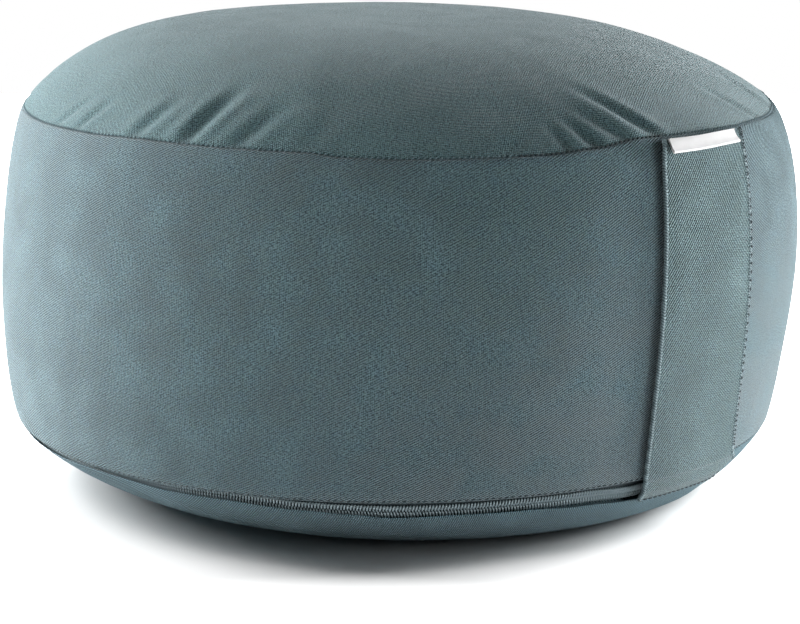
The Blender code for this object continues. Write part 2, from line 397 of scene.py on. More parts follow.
def section(azimuth):
    """Rows of (radius, height, crown share, panel, distance along the panel's cloth), from the
    middle of the rest patch out, up and in to the crown."""
    rest_radius = REST_RADIUS + LEAN_REST * sine(azimuth)
    seam = seam_section(azimuth)
    edge_radius, edge_height = seam[0]
    base = [(rest_radius * share, 0.0, 0.0) for share in REST_SHARES]
    for row in range(1, BASE_ROWS):
        share = row / BASE_ROWS
        radius = rest_radius + (edge_radius - rest_radius) * share
        base.append((radius, edge_height * share ** REST_POWER, 0.0))
    band = []
    band_height = TOP_SEAM_HEIGHT - FOLD_HEIGHT
    for row in range(BAND_ROWS):
        share = BAND_END * (1 - math.cos(math.pi * row / (BAND_ROWS - 1))) / 2
        radius, height = band_point(azimuth, share)
        from_edge = min(share, BAND_END - share) * band_height
        band.append((radius + lump(azimuth, radius, height, from_edge), height, 0.0))
    fold = rounded([base[-1], *[(*point, 0.0) for point in seam], band[0]], 2)[1:-1]

    seam_radius, seam_height = seam_point(azimuth)
    crown_power = CROWN_POWER + LEAN_CROWN_POWER * sine(azimuth)
    panel = []
    for row in range(1, PANEL_ROWS):
        share = 1 - (row / PANEL_ROWS) ** PANEL_DENSITY
        crown = 1 - share ** crown_power
        pucker = pucker_depth(azimuth, seam_radius * (1 - share))
        height = seam_height + (CROWN_HEIGHT - seam_height) * crown
        uneven = lump(azimuth, seam_radius * share, height, seam_radius * (1 - share))
        uneven *= min(1.0, share / LUMP_CROWN)
        radius = seam_radius * share - pucker * PUCKER_IN
        panel.append((radius, height - pucker * PUCKER_DOWN + uneven, crown))
    lip = (seam_radius - CREASE_LIP, seam_height, 0.0)
    crease = (seam_radius - CREASE_DEPTH, seam_height - CREASE_LIP, 0.0)
    dip = rounded([band[-1], crease, lip, panel[0]], 2)[1:-1]

    low = base + fold[:len(fold) // 2]
    side = fold[len(fold) // 2:] + band + dip[:len(dip) // 2]
    high = dip[len(dip) // 2:] + panel
    side_lengths = lengths(side)
    fold_length = side_lengths[len(fold) - len(fold) // 2]
    high_lengths = lengths(high)
    rows = [(*row, BOTTOM, low[0][0] + along) for row, along in zip(low, lengths(low))]
    rows += [(*row, BAND, along - fold_length) for row, along in zip(side, side_lengths)]
    to_middle = high[-1][0] + high_lengths[-1]
    rows += [(*row, TOP, to_middle - along) for row, along in zip(high, high_lengths)]
    return rows


def place(azimuth, radius, height, crown=0.0):
    """World point of a section's row."""
    turn = math.radians(azimuth)
    x = radius * math.sin(turn) + CROWN_SHIFT_X * crown
    return Vector((x, -radius * math.cos(turn), height))


# Meshes

SHARP_ANGLE = math.radians(40)


def new_piece(name, points, faces, *materials):
    """Object with a smooth closed mesh."""
    mesh = bpy.data.meshes.new(name)
    mesh.from_pydata(points, [], faces)
    for material in materials:
        mesh.materials.append(material)
    mesh.shade_smooth()
    piece = bpy.data.objects.new(name, mesh)
    bpy.context.collection.objects.link(piece)
    return piece


def turn_outward(mesh):
    """Makes all of a closed mesh's faces look outward."""
    bm = bmesh.new()
    bm.from_mesh(mesh)
    bmesh.ops.recalc_face_normals(bm, faces=bm.faces)
    bm.to_mesh(mesh)
    bm.free()


def set_weave(mesh, corners):
    """Stores where each face corner lies on the flat cloth, in metres."""
    layer = mesh.uv_layers.new(name="weave")
    layer.data.foreach_set("uv", [value for corner in corners for value in corner])


def lofted(rings):
    """Points, faces and weave places of a closed run of rings, capped at both ends."""
    count = len(rings[0])
    around = lengths3([*rings[0], rings[0][0]])
    along = lengths3([ring[0] for ring in rings])
    faces = []
    weave = []
    for r in range(len(rings) - 1):
        for i in range(count):
            j = (i + 1) % count
            first = r * count
            faces.append((first + i, first + j, first + count + j, first + count + i))
            weave += [(around[i], along[r]), (around[i + 1], along[r])]
            weave += [(around[i + 1], along[r + 1]), (around[i], along[r + 1])]
    last = (len(rings) - 1) * count
    faces.append(tuple(reversed(range(count))))
    faces.append(tuple(range(last, last + count)))
    weave += [(around[i], along[0]) for i in reversed(range(count))]
    weave += [(around[i], along[-1]) for i in range(count)]
    return [point for ring in rings for point in ring], faces, weave


def lengths3(points):
    """Distance along a run of points in space, at each of them."""
    total = [0.0]
    for start, end in zip(points, points[1:]):
        total.append(total[-1] + (end - start).length)
    return total


def tube_rings(points, outs, radii, sides):
    """Rings of a round tube through points, with a rough outward direction at each."""
    rings = []
    last = len(points) - 1
    for i, (point, out, radius) in enumerate(zip(points, outs, radii)):
        ahead = (points[min(i + 1, last)] - points[max(i - 1, 0)]).normalized()
        side = ahead.cross(out).normalized()
        up = side.cross(ahead)
        turns = [FULL_TURN * k / sides for k in range(sides)]
        rings.append([point + (side * math.cos(t) + up * math.sin(t)) * radius for t in turns])
    return rings


def piece_of_lofts(name, lofts, material):
    """One object of several closed lofts."""
    points = []
    faces = []
    weave = []
    for rings in lofts:
        more_points, more_faces, more_weave = lofted(rings)
        first = len(points)
        points += more_points
        faces += [tuple(first + i for i in face) for face in more_faces]
        weave += more_weave
    piece = new_piece(name, points, faces, material)
    set_weave(piece.data, weave)
    turn_outward(piece.data)
    return piece


def belongs(piece, slot, *nodes):
    """Sets a piece on the part's one body, in place of the nodes it stands for."""
    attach(piece, "root")
    if nodes:
        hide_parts(*nodes)
    return piece


# Cover

def build_cover(bottom_cloth, band_cloth, top_cloth):
    """The whole cover, closed, with each panel's own run of the weave."""
    azimuths = [FIRST_AZIMUTH + 360 * i / COLUMNS for i in range(COLUMNS)]
    sections = [section(azimuth) for azimuth in azimuths]
    rows = len(sections[0])
    points = []
    for row in range(rows):
        for azimuth, column in zip(azimuths, sections):
            radius, height, crown, _, _ = column[row]
            points.append(place(azimuth, radius, height, crown))

    def weave_place(i, row, panel):
        _, _, _, own_panel, along = sections[i % COLUMNS][row]
        if own_panel != panel:
            along = sections[i % COLUMNS][row + 1][4]
        turn = math.radians(FIRST_AZIMUTH) + FULL_TURN * i / COLUMNS
        if panel == BAND:
            return turn * BAND_WEAVE_RADIUS, along
        return along * math.sin(turn), -along * math.cos(turn)

    faces = []
    panels = []
    weave = []
    for row in range(rows - 1):
        panel = sections[0][row + 1][3]
        for i in range(COLUMNS):
            j = (i + 1) % COLUMNS
            first = row * COLUMNS
            faces.append((first + i, first + j, first + COLUMNS + j, first + COLUMNS + i))
            panels.append(panel)
            weave += [weave_place(i, row, panel), weave_place(i + 1, row, panel)]
            weave += [weave_place(i + 1, row + 1, panel), weave_place(i, row + 1, panel)]
    for row, panel in ((0, BOTTOM), (rows - 1, TOP)):
        middle = len(points)
        ring = points[row * COLUMNS:(row + 1) * COLUMNS]
        points.append(sum(ring, Vector()) / COLUMNS)
        for i in range(COLUMNS):
            corners = [i, (i + 1) % COLUMNS]
            corner_turns = [i, i + 1]
            if panel == BOTTOM:
                corners.reverse()
                corner_turns.reverse()
            faces.append((*(row * COLUMNS + corner for corner in corners), middle))
            panels.append(panel)
            for k in corner_turns:
                turn = math.radians(FIRST_AZIMUTH) + FULL_TURN * k / COLUMNS
                along = sections[k % COLUMNS][row][4]
                weave.append((along * math.sin(turn), -along * math.cos(turn)))
            weave.append((0.0, 0.0))
    cover = new_piece("cover", points, faces, bottom_cloth, band_cloth, top_cloth)
    cover.data.polygons.foreach_set("material_index", panels)
    set_weave(cover.data, weave)
    return cover


# Strap and label

def band_base(azimuth, share):
    """Point on the band and the outward direction there, in the section's plane."""
    below = band_point(azimuth, max(0.0, share - SLOPE_STEP))
    above = band_point(azimuth, min(1.0, share + SLOPE_STEP))
    rise_radius = above[0] - below[0]
    rise_height = above[1] - below[1]
    length = math.hypot(rise_radius, rise_height)
    return band_point(azimuth, share), (rise_height / length, -rise_radius / length)


def edge_base(azimuth, down):
    """Point below the fold and the outward direction there, in the section's plane."""
    tilt = math.radians(SEAM_TILT)
    return below_fold(azimuth, down, 0.0), (math.cos(tilt), -math.sin(tilt))


def strap_base(azimuth, share):
    """Base of the strap on the cushion, at a share of its length."""
    if share <= STRAP_FOLD:
        up = BAND_TOP * (1 + math.cos(math.pi * share / STRAP_FOLD)) / 2
        return band_base(azimuth, up)
    edge_down = math.dist(seam_section(azimuth)[0], fold_point(azimuth))
    return edge_base(azimuth, edge_down * (share - STRAP_FOLD) / (1 - STRAP_FOLD))


def bowed(ends, share):
    """Value at a share of the length, on the even curve through a top, middle and bottom value."""
    top, middle, bottom = ends
    return top + (bottom - top) * share + (4 * middle - 2 * top - 2 * bottom) * share * (1 - share)


def strap_point(share, across, out):
    """World point at a share of the strap's length, -1 to 1 across it, out from its inner face."""
    free = max(0.0, math.sin(math.pi * min(1.0, share / STRAP_FOLD))) ** STRAP_LIFT_POWER
    pocket = math.exp(-((share - POCKET_SHARE) / POCKET_SPREAD) ** 2) * (1 - across) ** 2 / 4
    left = bowed(STRAP_LEFT, share)
    azimuth = left + (bowed(STRAP_RIGHT, share) - left) * (1 + across) / 2
    (radius, height), (out_radius, out_height) = strap_base(azimuth, share)
    out *= STRAP_END + (1 - STRAP_END) * min(1.0, (1 - share) / STRAP_TAPER)
    out += CLEARANCE + free * (STRAP_LIFT + POCKET_LIFT * pocket)
    return place(azimuth, radius + out_radius * out, height + out_height * out)


STRAP_ROWS = 150
STRAP_ACROSS = 24
STRAP_HALF_WIDTH = 0.025
STRAP_ROUND = 5
STITCH_LINE = 0.0024
STITCH_SINK = 0.00035
STITCH_SPREAD = 0.0006


def strap_ring(share):
    """Ring around the strap, with round edges and a sunken stitch line near each."""
    half = STRAP_THICKNESS / 2
    edge = half / STRAP_HALF_WIDTH
    ring = []
    for i in range(STRAP_ACROSS + 1):
        across = (-1 + edge) + (2 - 2 * edge) * i / STRAP_ACROSS
        inward = (1 - abs(across)) * STRAP_HALF_WIDTH
        sink = STITCH_SINK * math.exp(-((inward - STITCH_LINE) / STITCH_SPREAD) ** 2)
        ring.append(strap_point(share, across, STRAP_THICKNESS - sink))
    for i in range(1, STRAP_ROUND):
        turn = math.pi * i / STRAP_ROUND
        across = 1 - edge + edge * math.sin(turn)
        ring.append(strap_point(share, across, half + half * math.cos(turn)))
    for i in range(STRAP_ACROSS // 2 + 1):
        ring.append(strap_point(share, (1 - edge) * (1 - 4 * i / STRAP_ACROSS), 0.0))
    for i in range(1, STRAP_ROUND):
        turn = math.pi * i / STRAP_ROUND
        across = -1 + edge - edge * math.sin(turn)
        ring.append(strap_point(share, across, half - half * math.cos(turn)))
    return ring


def build_strap(cloth):
    """Folded strap with edge stitching."""
    rings = [strap_ring(row / STRAP_ROWS) for row in range(STRAP_ROWS + 1)]
    return piece_of_lofts("folded_strap", [rings], cloth)


ROPE_RADIUS = 0.00080
ROPE_LOBE = 0.30
ROPE_PITCH = 0.0026
ROPE_ANGLE = 29
ROPE_SPACING = 0.00114
ROPE_STEP = 0.00035
ROPE_SIDES = 10
ROPE_INSET = 0.985
ROPE_OUT = 0.75


def rope_rings(path, outs):
    """Rings of a two-stranded twisted bead along a path."""
    rings = []
    last = len(path) - 1
    along = lengths3(path)
    for i, (point, out) in enumerate(zip(path, outs)):
        ahead = (path[min(i + 1, last)] - path[max(i - 1, 0)]).normalized()
        side = ahead.cross(out).normalized()
        up = side.cross(ahead)
        twist = FULL_TURN * along[i] / ROPE_PITCH
        ring = []
        for k in range(ROPE_SIDES):
            turn = FULL_TURN * k / ROPE_SIDES
            radius = ROPE_RADIUS * (1 + ROPE_LOBE * math.cos(2 * (turn - twist)))
            ring.append(point + (side * math.cos(turn) + up * math.sin(turn)) * radius)
        rings.append(ring)
    return rings


def build_strap_edges(thread):
    """The overcast edges of the strap, as a twisted bead along each."""
    count = round(STRAP_LENGTH / ROPE_STEP)
    lofts = []
    for across in (-ROPE_INSET, ROPE_INSET):
        path = []
        outs = []
        for i in range(count + 1):
            share = i / count
            path.append(strap_point(share, across, STRAP_THICKNESS * ROPE_OUT))
            outs.append((strap_point(share, across, 2 * STRAP_THICKNESS) - path[-1]).normalized())
        lofts.append(rope_rings(path, outs))
    return piece_of_lofts("strap_edges", lofts, thread)


LABEL_ROWS = 12
LABEL_FOLD_ROWS = 8
LABEL_ACROSS = 24
RIBBON_THICKNESS = 0.00035


def label_row(share, bulge, out):
    """Points across the label, at a share of the way down from its upper to its lower edge, and
    a bulge below that."""
    row = []
    for i in range(LABEL_ACROSS + 1):
        side = i / LABEL_ACROSS
        across = LABEL_LEFT + (LABEL_RIGHT - LABEL_LEFT) * side + LABEL_LEAN * share
        top, bottom = (low + (high - low) * side for low, high in (LABEL_TOP, LABEL_BOTTOM))
        down = (top + (bottom - top) * share) * MM + bulge
        turn = math.acos(1 - 2 * down / (BAND_TOP * (TOP_SEAM_HEIGHT - FOLD_HEIGHT)))
        row.append(strap_point(STRAP_FOLD * turn / math.pi, across, out))
    return row


def label_face(inset):
    """Rows down the label's outer layer, round its fold and up its inner one, moved into the
    ribbon by an inset."""
    half = LABEL_THICKNESS / 2
    rows = []
    for i in range(LABEL_ROWS + 1):
        share = i / LABEL_ROWS
        middle = STRAP_THICKNESS + CLEARANCE + LABEL_LIFT * share ** 2 + half
        rows.append((share, 0.0, middle, half - inset))
    middle = rows[-1][2]
    for i in range(1, LABEL_FOLD_ROWS):
        turn = math.pi * i / LABEL_FOLD_ROWS
        rows.append((1.0, math.sin(turn) * (half - inset), middle, math.cos(turn) * (half - inset)))
    rows += [(share, 0.0, middle, inset - half) for share, _, middle, _ in rows[LABEL_ROWS::-1]]
    return [label_row(share, bulge, middle + side) for share, bulge, middle, side in rows]


def build_label(ribbon):
    """Blank ribbon, folded at its lower edge and sewn in at its upper edge."""
    outer = label_face(0.0)
    inner = label_face(RIBBON_THICKNESS)
    columns = [[row[i] for row in outer + inner[::-1]] for i in range(LABEL_ACROSS + 1)]
    label = piece_of_lofts("blank_label", [columns], ribbon)
    label.data.set_sharp_from_angle(angle=SHARP_ANGLE)
    return label


# Zip

def chain_point(azimuth, along, out):
    """Point on the zip, along its width from the upper edge, and out from its face."""
    tilt = math.radians(ZIP_TILT)
    shift = along_table(CHAIN_SHIFT, turned(azimuth)) * MM
    down = CHAIN_DOWN + shift + along * math.cos(tilt) + out * math.sin(tilt)
    inward = CHAIN_IN + along * math.sin(tilt) - out * math.cos(tilt)
    return place(azimuth, *below_fold(azimuth, down, inward))


COIL_PITCH = 0.0012
COIL_TURN_POINTS = 12
THREAD_RADIUS = 0.00030
COIL_SIDES = 6
CHAIN_RADIUS = 0.154
UPPER_MIDDLE = CLEARANCE + COIL_WIDTH / 2
LOWER_MIDDLE = UPPER_MIDDLE + COIL_WIDTH + CLEARANCE


def build_coil(name, middle, hand, plastic):
    """One side's nylon coil, a flattened helix."""
    length = math.radians(ZIP_END - ZIP_START) * CHAIN_RADIUS
    turns = round(length / COIL_PITCH)
    half_width = COIL_WIDTH / 2 - THREAD_RADIUS
    half_height = COIL_THICKNESS / 2 - THREAD_RADIUS
    path = []
    outs = []
    for i in range(turns * COIL_TURN_POINTS + 1):
        turn = FULL_TURN * i / COIL_TURN_POINTS
        azimuth = ZIP_START + (ZIP_END - ZIP_START) * i / (turns * COIL_TURN_POINTS)
        along = middle + half_width * math.cos(turn)
        out = half_height * math.sin(turn) * hand - COIL_THICKNESS / 2
        path.append(chain_point(azimuth, along, out))
        outs.append(path[-1] - chain_point(azimuth, middle, -COIL_THICKNESS / 2))
    rings = tube_rings(path, outs, [THREAD_RADIUS] * len(path), COIL_SIDES)
    return piece_of_lofts(name, [rings], plastic)


TAPE_STEPS = 173


def build_tape(name, start, end, cloth):
    """One side's woven tape."""
    outer = -COIL_THICKNESS - CLEARANCE
    inner = outer - TAPE_THICKNESS
    corners = ((start, outer), (end, outer), (end, inner), (start, inner))
    rings = []
    for i in range(TAPE_STEPS + 1):
        azimuth = ZIP_START + (ZIP_END - ZIP_START) * i / TAPE_STEPS
        rings.append([chain_point(azimuth, along, out) for along, out in corners])
    tape = piece_of_lofts(name, [rings], cloth)
    tape.data.set_sharp_from_angle(angle=SHARP_ANGLE)
    return tape


# Sewing

STITCH_SIDES = 6
STITCH_POINTS = 6
STITCH_TIP = 0.55
SEAM_DIRECTION = (0.8, 0.6)
STITCHED_RADIUS = 0.155
FOLD_STITCH_UP = 0.0003
END_STITCH_DOWN = 0.0002
END_STITCH_OUT = 0.0009
PLAIN_STITCH_DOWN = 0.0010
PLAIN_STITCH_IN = 0.0004
SIDE_START = 0.03
SIDE_STITCHED = 0.8
SIDE_PITCH = 0.0025
SIDE_STITCH_DOWN = 0.0016
SIDE_REACH = 0.0010
SIDE_TURN_FROM = 5
SIDE_TURN_TO = 125
SIDE_STITCH_RADIUS = 0.00045


def stitch(azimuth, span, base, slant, radius, arch):
    """One short stitch along the round: base gives a point from azimuth, slant and height."""
    path = []
    outs = []
    radii = []
    for i in range(STITCH_POINTS + 1):
        share = i / STITCH_POINTS
        turn = azimuth + span * (share - 0.5)
        lift = arch * math.sin(math.pi * share) - radius
        path.append(base(turn, slant * (share - 0.5), lift))
        outs.append(base(turn, slant * (share - 0.5), lift + MM) - path[-1])
        radii.append(radius * (STITCH_TIP + (1 - STITCH_TIP) * math.sin(math.pi * share)))
    return tube_rings(path, outs, radii, STITCH_SIDES)


def seam_base(azimuth, across, out):
    """Point in the top seam's crease."""
    radius, height = seam_point(azimuth)
    out_radius, out_height = SEAM_DIRECTION
    return place(azimuth, radius + out * out_radius, height + across + out * out_height)


def fold_base(azimuth, across, out):
    """Point on the band just above its folded edge."""
    share = (FOLD_STITCH_UP + across) / BAND_LENGTH
    (radius, height), (out_radius, out_height) = band_base(azimuth, share)
    return place(azimuth, radius + out_radius * out, height + out_height * out)


def end_base(azimuth, across, out):
    """Point on the strap's lower end, where it goes into the seam."""
    edge_down = math.dist(seam_section(azimuth)[0], fold_point(azimuth)) + END_STITCH_DOWN
    radius, height = below_fold(azimuth, edge_down + across, -out - END_STITCH_OUT)
    return place(azimuth, radius, height)


def plain_base(azimuth, across, out):
    """Point in the plain bottom seam's crease."""
    radius, height = below_fold(azimuth, PLAIN_STITCH_DOWN + across, PLAIN_STITCH_IN - out)
    return place(azimuth, radius, height)


def strap_side_stitches(thread):
    """Slanted stitches over the strap's right edge, in dark thread that paints the shadows of the
    overcast stitching.
    """
    count = round(SIDE_STITCHED * STRAP_LENGTH / SIDE_PITCH)
    lofts = []
    for i in range(count):
        top = SIDE_START + (i + 0.5) * SIDE_PITCH / STRAP_LENGTH
        path = []
        outs = []
        radii = []
        for k in range(STITCH_POINTS + 1):
            step = k / STITCH_POINTS
            turn = math.radians(SIDE_TURN_FROM + (SIDE_TURN_TO - SIDE_TURN_FROM) * step)
            share = top + SIDE_STITCH_DOWN * step / STRAP_LENGTH
            across = ROPE_INSET + SIDE_REACH * math.sin(turn) / STRAP_HALF_WIDTH
            out = STRAP_THICKNESS * ROPE_OUT + SIDE_REACH * math.cos(turn)
            path.append(strap_point(share, across, out))
            outs.append(strap_point(share, across, out + MM) - path[-1])
            radii.append(SIDE_STITCH_RADIUS * (0.5 + 0.5 * math.sin(math.pi * step)))
        lofts.append(tube_rings(path, outs, radii, STITCH_SIDES))
    return piece_of_lofts("strap_side_stitches", lofts, thread)


def stitch_row(name, start, end, pitch, share, base, slant, radius, arch, thread):
    """Row of stitches from one azimuth to another, each a share of the pitch long."""
    count = round(math.radians(end - start) * STITCHED_RADIUS / pitch)
    step = (end - start) / count
    lofts = []
    for i in range(count):
        azimuth = start + (i + 0.5) * step
        lofts.append(stitch(azimuth, step * share, base, slant, radius, arch))
    return piece_of_lofts(name, lofts, thread)


# Materials

class Shader:
    """A material with a principled surface, and short calls for the nodes that feed it."""

    def __init__(self, name, roughness, **constants):
        self.material = bpy.data.materials.new(name)
        self.material.use_nodes = True
        self.tree = self.material.node_tree
        self.surface = self.tree.nodes["Principled BSDF"]
        self.surface.inputs["Roughness"].default_value = roughness
        for socket, value in constants.items():
            self.surface.inputs[socket.replace("_", " ")].default_value = value

    def node(self, kind, **inputs):
        """Adds a node and feeds its inputs with sockets or values."""
        made = self.tree.nodes.new("ShaderNode" + kind)
        for name, value in inputs.items():
            self.feed(made.inputs[name.replace("_", " ")], value)
        return made

    def feed(self, socket, value):
        if isinstance(value, bpy.types.NodeSocket):
            self.tree.links.new(value, socket)
        else:
            socket.default_value = value

    def math(self, operation, first, second=0.0):
        """Result of one sum."""
        made = self.tree.nodes.new("ShaderNodeMath")
        made.operation = operation
        self.feed(made.inputs[0], first)
        self.feed(made.inputs[1], second)
        return made.outputs[0]

    def scaled(self, value, factor, offset=0.0):
        """A value times a factor, plus an offset."""
        made = self.tree.nodes.new("ShaderNodeMath")
        made.operation = "MULTIPLY_ADD"
        self.feed(made.inputs[0], value)
        self.feed(made.inputs[1], factor)
        self.feed(made.inputs[2], offset)
        return made.outputs[0]

    def cloth_place(self):
        """Place on the flat cloth."""
        made = self.tree.nodes.new("ShaderNodeUVMap")
        made.uv_map = "weave"
        return made.outputs[0]

    def stretched(self, vector, scale):
        """A place multiplied by a factor for each axis."""
        made = self.tree.nodes.new("ShaderNodeVectorMath")
        made.operation = "MULTIPLY"
        self.feed(made.inputs[0], vector)
        made.inputs[1].default_value = scale
        return made.outputs[0]

    def waves(self, vector, angle, pitch, shift=0.0):
        """Sine from -1 to 1 of lines at an angle in degrees, a pitch apart."""
        made = self.tree.nodes.new("ShaderNodeVectorMath")
        made.operation = "DOT_PRODUCT"
        self.feed(made.inputs[0], vector)
        turn = math.radians(angle)
        rate = FULL_TURN / pitch
        made.inputs[1].default_value = (-math.sin(turn) * rate, math.cos(turn) * rate, 0)
        return self.math("SINE", self.math("ADD", made.outputs["Value"], shift))

    def noise(self, vector, scale, detail=2.0):
        """Soft noise from 0 to 1."""
        made = self.node("TexNoise", Vector=vector, Scale=scale, Detail=detail)
        return made.outputs["Fac"]

    def blend(self, factor, low, high):
        """Colour between two colours."""
        made = self.tree.nodes.new("ShaderNodeMix")
        made.data_type = "RGBA"
        self.feed(made.inputs["Factor"], factor)
        self.feed(made.inputs[6], (*low, 1))
        self.feed(made.inputs[7], (*high, 1))
        return made.outputs[2]

    def tinted(self, colour, tint):
        """A colour multiplied by another."""
        made = self.tree.nodes.new("ShaderNodeMix")
        made.data_type = "RGBA"
        made.blend_type = "MULTIPLY"
        made.inputs["Factor"].default_value = 1.0
        self.feed(made.inputs[6], colour)
        self.feed(made.inputs[7], tint)
        return made.outputs[2]

    def colour(self, socket):
        self.feed(self.surface.inputs["Base Color"], socket)

    def bump(self, height, distance, strength=1.0):
        made = self.node("Bump", Height=height, Distance=distance, Strength=strength)
        self.feed(self.surface.inputs["Normal"], made.outputs["Normal"])


# The twill's two colours are partly its yarns' own two tones, and partly painted shade in the
# grooves and painted light on the ribs.
GROOVE_YARN_AND_SHADE_COLOUR = (0.009, 0.028, 0.036)
RIB_YARN_AND_LIGHT_COLOUR = (0.138, 0.224, 0.252)
SHEEN_TINT = (0.94, 0.97, 1.0, 1)
BLUER = (0.93, 0.98, 1.07)
GREENER = (1.05, 1.02, 0.92)
NO_TINT = (1.0, 1.0, 1.0)
TOP_TINT = (0.90, 0.99, 0.94)
# The bottom panel is the band's own cloth; this tint lightens it as painted light from the floor's
# bounce.
BOTTOM_PAINTED_BOUNCE_LIGHT = (1.30, 1.48, 1.56)
STRAP_TINT = (0.95, 0.95, 0.89)

# How the twill's ribs sway and how the yarn floats cross them
SWAY = 4.0
FLOAT_TURN = 62
FLOAT_PITCH = 0.9
FLOAT_SHARE = 0.25

# Spots per metre of the cloth's uneven parts
SWAY_SCALE = 160.0
CLEARNESS_SCALE = 60.0
YARN_SCALES = (900.0, 2200.0, 1.0)
FLECK_SCALE = 1500.0
NAP_SCALE = 38.0
SHADE_SCALE = 240.0
TWILL_DEPTH = 0.00032


def twill(name, angle, clarity, tint=NO_TINT, pitch=TWILL_PITCH):
    """Cotton twill: diagonal ribs broken into yarn floats, uneven yarns and a soft nap. Clarity
    is how clearly the ribs show."""
    cloth = Shader(name, 0.9, Specular_IOR_Level=0.15, Sheen_Weight=0.30, Sheen_Roughness=0.45,
                   Sheen_Tint=SHEEN_TINT)
    where = cloth.cloth_place()
    sway = cloth.scaled(cloth.noise(where, SWAY_SCALE), SWAY)
    ribs = cloth.waves(where, angle, pitch, sway)
    floats = cloth.waves(where, angle + FLOAT_TURN, pitch * FLOAT_PITCH, sway)
    clear = cloth.scaled(cloth.noise(where, CLEARNESS_SCALE), 1.8 * clarity, -0.1 * clarity)
    yarns = cloth.noise(cloth.stretched(where, YARN_SCALES), 1.0, 1.0)
    flecks = cloth.noise(where, FLECK_SCALE, 1.0)
    nap = cloth.noise(where, NAP_SCALE, 3.0)
    relief = cloth.math("MULTIPLY", ribs, clear)
    relief = cloth.math("ADD", relief, cloth.scaled(floats, FLOAT_SHARE))
    # The ribs' relief sets the colour as well as the bump: painted shade in the grooves and painted
    # light on the ribs, over the yarns' own tones.
    tone = cloth.math("ADD", cloth.scaled(relief, 0.60), cloth.scaled(yarns, 1.8, -0.9))
    tone = cloth.math("ADD", tone, cloth.scaled(flecks, 2.0, -1.0))
    tone = cloth.math("ADD", tone, cloth.scaled(nap, 0.20, 0.40))
    weave = cloth.blend(tone, GROOVE_YARN_AND_SHADE_COLOUR, RIB_YARN_AND_LIGHT_COLOUR)
    shades = [tuple(a * b for a, b in zip(shade, tint)) for shade in (BLUER, GREENER)]
    cloth.colour(cloth.tinted(weave, cloth.blend(cloth.noise(where, SHADE_SCALE), *shades)))
    cloth.bump(cloth.math("ADD", relief, cloth.scaled(flecks, 0.8)), TWILL_DEPTH)
    return cloth.material


def thread(name, dark, light, angle=40, pitch=0.0005):
    """Twisted sewing thread."""
    yarn = Shader(name, 0.8, Specular_IOR_Level=0.25, Sheen_Weight=0.2)
    where = yarn.cloth_place()
    twist = yarn.waves(where, angle, pitch, math.pi / 2)
    fuzz = yarn.noise(where, 2500.0, 1.0)
    tone = yarn.math("ADD", yarn.scaled(twist, 0.42), fuzz)
    yarn.colour(yarn.blend(tone, dark, light))
    yarn.bump(tone, 0.00008, 0.8)
    return yarn.material


def nylon(name, dark, light):
    """Semi-matt nylon monofilament."""
    coil = Shader(name, 0.36, Specular_IOR_Level=0.5)
    where = coil.cloth_place()
    haze = coil.noise(where, 700.0, 2.0)
    coil.colour(coil.blend(haze, dark, light))
    coil.bump(haze, 0.00004, 0.4)
    return coil.material


TAPE_PITCH = 0.0005
RIBBON_PITCH = 0.0004
RIBBON_CROSS_PITCH = 0.00055
RIBBON_SHADE = (0.50, 0.50, 0.505)
RIBBON_WHITE = (0.60, 0.60, 0.605)


def tape_weave_painted_shade(name, dark, light):
    """Fine close weave of a zip tape."""
    tape = Shader(name, 0.85, Sheen_Weight=0.1)
    where = tape.cloth_place()
    ribs = tape.waves(where, 45, TAPE_PITCH)
    cross = tape.waves(where, -45, TAPE_PITCH)
    height = tape.math("ADD", ribs, cross)
    tone = tape.math("ADD", tape.math("MULTIPLY", height, 0.2), 0.5)
    tape.colour(tape.blend(tone, dark, light))
    tape.bump(height, 0.00006, 0.7)
    return tape.material


def ribbon_weave(name):
    """White ribbon in a fine satin weave, a little uneven."""
    ribbon = Shader(name, 0.6, Sheen_Weight=0.15)
    where = ribbon.cloth_place()
    ribs = ribbon.waves(where, 90, RIBBON_PITCH)
    cross = ribbon.waves(where, 0, RIBBON_CROSS_PITCH)
    haze = ribbon.noise(where, 200.0, 3.0)
    height = ribbon.math("ADD", ribs, ribbon.math("MULTIPLY", cross, 0.6))
    tone = ribbon.math("ADD", ribbon.math("MULTIPLY", height, 0.12), haze)
    ribbon.colour(ribbon.blend(tone, RIBBON_SHADE, RIBBON_WHITE))
    ribbon.bump(height, 0.00005, 0.6)
    return ribbon.material


# Stage

PHOTO_LENS = 114.65
SENSOR_WIDTH = 36.0
CAMERA_PLACE = (0.0, -1.05, 0.29425)
CAMERA_AIM = (0.0, 0.0, 0.064477)
CLIP_START = 0.01
CLIP_END = 50

# Softboxes: azimuth, elevation, distance, width, height, watts, and whether it lights the floor
# alone (and otherwise the object alone)
LIGHTS = {
    "left_back": (-122, 17, 1.3, 0.6, 0.9, 41.0, False),
    "left_side": (-102, 11, 1.3, 0.6, 0.9, 17.0, False),
    "left_front": (-76, 9, 1.3, 0.6, 0.9, 23.0, False),
    "right_side": (108, 2, 1.3, 0.6, 0.6, 50.0, False),
    "right_front": (68, 3, 1.3, 0.6, 0.6, 13.0, False),
    "floor_back": (180, 40, 4.0, 1.2, 1.2, 336.0, True),
    "floor_low": (180, 20, 4.0, 1.2, 1.2, 432.0, True),
    "floor_front": (45, 30, 4.0, 2.4, 2.4, 20.0, True),
    "floor_right": (106, 30, 4.0, 2.4, 2.4, 480.0, True),
    "floor_left": (-112, 34, 4.0, 2.4, 2.4, 350.0, True),
}
LIGHT_AIM = Vector((0, 0, 0.09))
WORLD_LIGHT = 0.01
FLOOR_REACH = 1.25

# The floor's colour as the camera sees it, and as it lights the object
FLOOR_COLOUR = (0.86, 0.86, 0.86)
FLOOR_BOUNCE = (0.52, 0.52, 0.52)
FLOOR_SIDES = 96
FLOOR_DOWN = 0.0002


